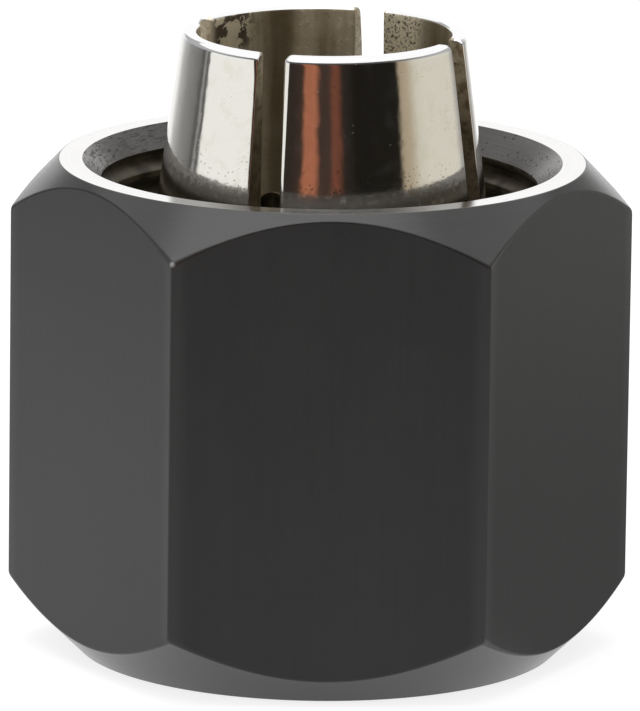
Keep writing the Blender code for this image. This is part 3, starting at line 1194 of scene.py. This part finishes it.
# %% Tones of the card
STUDIO = [
    (-165.0, 0.97, 0.97, 0.97), (-154.0, 0.95, 0.95, 0.95), (-144.0, 0.48, 0.48, 0.48),
    (-131.0, 0.27, 0.27, 0.27), (-114.5, 0.17, 0.17, 0.17), (-111.5, 0.10, 0.10, 0.10),
    (-109.3, 0.10, 0.10, 0.10), (-107.0, 0.33, 0.33, 0.32), (-105.0, 0.09, 0.09, 0.09),
    (-102.9, 0.09, 0.09, 0.09), (-101.1, 0.87, 0.87, 0.84), (-56.0, 0.87, 0.87, 0.84),
    (-53.5, 0.030, 0.025, 0.020), (-24.0, 0.034, 0.025, 0.020), (-18.0, 0.050, 0.033, 0.025),
    (-15.5, 0.40, 0.15, 0.085), (-8.0, 0.39, 0.145, 0.082), (-4.5, 0.055, 0.036, 0.029),
    (2.0, 0.055, 0.036, 0.029), (5.5, 0.17, 0.062, 0.038), (9.0, 0.15, 0.055, 0.034),
    (12.5, 0.030, 0.024, 0.020), (22.0, 0.0125, 0.0113, 0.0092), (55.5, 0.0125, 0.0113, 0.0092),
    (58.0, 0.36, 0.30, 0.215), (65.0, 0.43, 0.365, 0.27), (72.0, 0.60, 0.575, 0.49),
    (82.0, 0.656, 0.635, 0.557), (112.0, 0.656, 0.635, 0.557), (118.0, 0.36, 0.35, 0.34),
    (146.0, 0.33, 0.32, 0.31), (157.0, 0.97, 0.97, 0.97),
]
print(len(STUDIO), "tones from", STUDIO[0][0], "to", STUDIO[-1][0], "degrees")

# %% The card
CARD_DISTANCE = 150.0 * MM
CARD_HEIGHT = 115.0 * MM
PANELS_TOP, PANELS_FADE = 62.0, 10.0
CARD_STEPS = 110
STRIP_LEAN = 0.12
STRIP_WAVE = 1.6
STRIP_MIDDLE = 38.0


def studio_paint():
    material = bpy.data.materials.new("studio_card")
    sheet = blank(material)
    x, y, z = (sheet.node("ShaderNodeTexCoord", output="Object").part(axis) for axis in "XYZ")
    z = z / MM
    angle = sheet.math("ARCTAN2", x, 0 - y) * math.degrees(1.0)
    front = 1 - sheet.math("ABSOLUTE", angle).between(25.0, 45.0)
    spread = sheet.node("ShaderNodeCombineXYZ", None, {0: angle / 12.0, 1: z * 1.4})
    waves = spread.grain(1.0, 3.0, 0.6)
    blots = spread.stretched((1.3, 1.5, 1.0)).grain(1.0, 3.0, 0.7)
    lean = (z - STRIP_MIDDLE) * STRIP_LEAN + (waves - 0.5) * STRIP_WAVE
    around_room = (angle + front * lean + 180.0) / 360.0
    stops = [((degrees + 180.0) / 360.0, (*color, 1.0)) for degrees, *color in STUDIO]
    color = sheet.node("ShaderNodeValToRGB", {"stops": stops}, {0: around_room}, "Color")
    high = (z - PANELS_TOP).between(-PANELS_FADE, PANELS_FADE)
    sideways = sheet.math("ABSOLUTE", angle).between(40.0, 110.0)
    color = tint(high, color, tint(sideways, grey(0.075, 0.04), grey(0.42)))
    strength = 1 - front * blots.between(0.48, 0.72) * 0.6
    glow = sheet.node("ShaderNodeEmission", None, {"Color": color, "Strength": strength})
    sheet.node("ShaderNodeOutputMaterial", None, {"Surface": glow})
    return material


def mirrored_sheet(name, directions, near, far, material):
    """A bent sheet that only mirror-like surfaces see. Near and far are (radius, height)."""
    angles = np.radians(directions - 90.0)
    count = len(angles)
    faces = [(i, i + 1, count + i + 1, count + i) for i in range(count - 1)]
    points = np.concatenate([around(*near, angles), around(*far, angles)])
    sheet = scenery(name, points, faces, material)
    sheet.visible_camera = False
    sheet.visible_diffuse = False
    sheet.visible_shadow = False
    return sheet


def make_card():
    directions = np.linspace(STUDIO[0][0], STUDIO[-1][0], CARD_STEPS + 1)
    low, high = (CARD_DISTANCE, 0.0), (CARD_DISTANCE, CARD_HEIGHT)
    panel = mirrored_sheet("studio_card", directions, low, high, studio_paint())
    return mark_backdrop(panel)


make_card()
print("the card stands", CARD_DISTANCE / MM, "mm from the axis")

# %% [markdown]
# The right flat of the nut is darker than the left one. A grey sheet on the table stands in for
# that shade: only mirror-like surfaces see it, so it puts painted shade into their reflections
# on that side.

# %% Grey sheet on the table
SHEET_TONE = 0.47
SHEET_FROM, SHEET_TO, SHEET_COLUMNS = 62.0, 148.0, 12
SHEET_NEAR, SHEET_FAR, SHEET_LIFT = 13.3 * MM, 105.0 * MM, 0.02 * MM


def make_sheet():
    material = bpy.data.materials.new("painted_shade_sheet")
    sheet = blank(material)
    glow = sheet.node("ShaderNodeEmission", None, {"Color": grey(SHEET_TONE)})
    sheet.node("ShaderNodeOutputMaterial", None, {"Surface": glow})
    directions = np.linspace(SHEET_FROM, SHEET_TO, SHEET_COLUMNS)
    near, far = (SHEET_NEAR, SHEET_LIFT), (SHEET_FAR, SHEET_LIFT)
    paper = mirrored_sheet("painted_shade_sheet", directions, near, far, material)
    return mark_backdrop(paper)


make_sheet()
print("the sheet lies from", SHEET_FROM, "to", SHEET_TO, "degrees")

# %% [markdown]
# ## Soft light
#
# One large softbox above and a little to the left gives the chamfers their sheen and the floor
# its soft shadow. Its power is set so that a mid grey card on the floor would come out mid grey.

# %% Softbox
SOFTBOX_PLACE = Vector((-0.07, -0.06, 0.55))
SOFTBOX_SIZE = 0.50
SOFTBOX_POWER = 0.95

lamp = bpy.data.lights.new("top_softbox", "AREA")
lamp.shape = "SQUARE"
lamp.size = SOFTBOX_SIZE
lamp.energy = SOFTBOX_POWER
softbox = bpy.data.objects.new("top_softbox", lamp)
softbox.location = SOFTBOX_PLACE
softbox.rotation_euler = (-SOFTBOX_PLACE).to_track_quat("-Z", "Y").to_euler()
scene.collection.objects.link(softbox)

# %% [markdown]
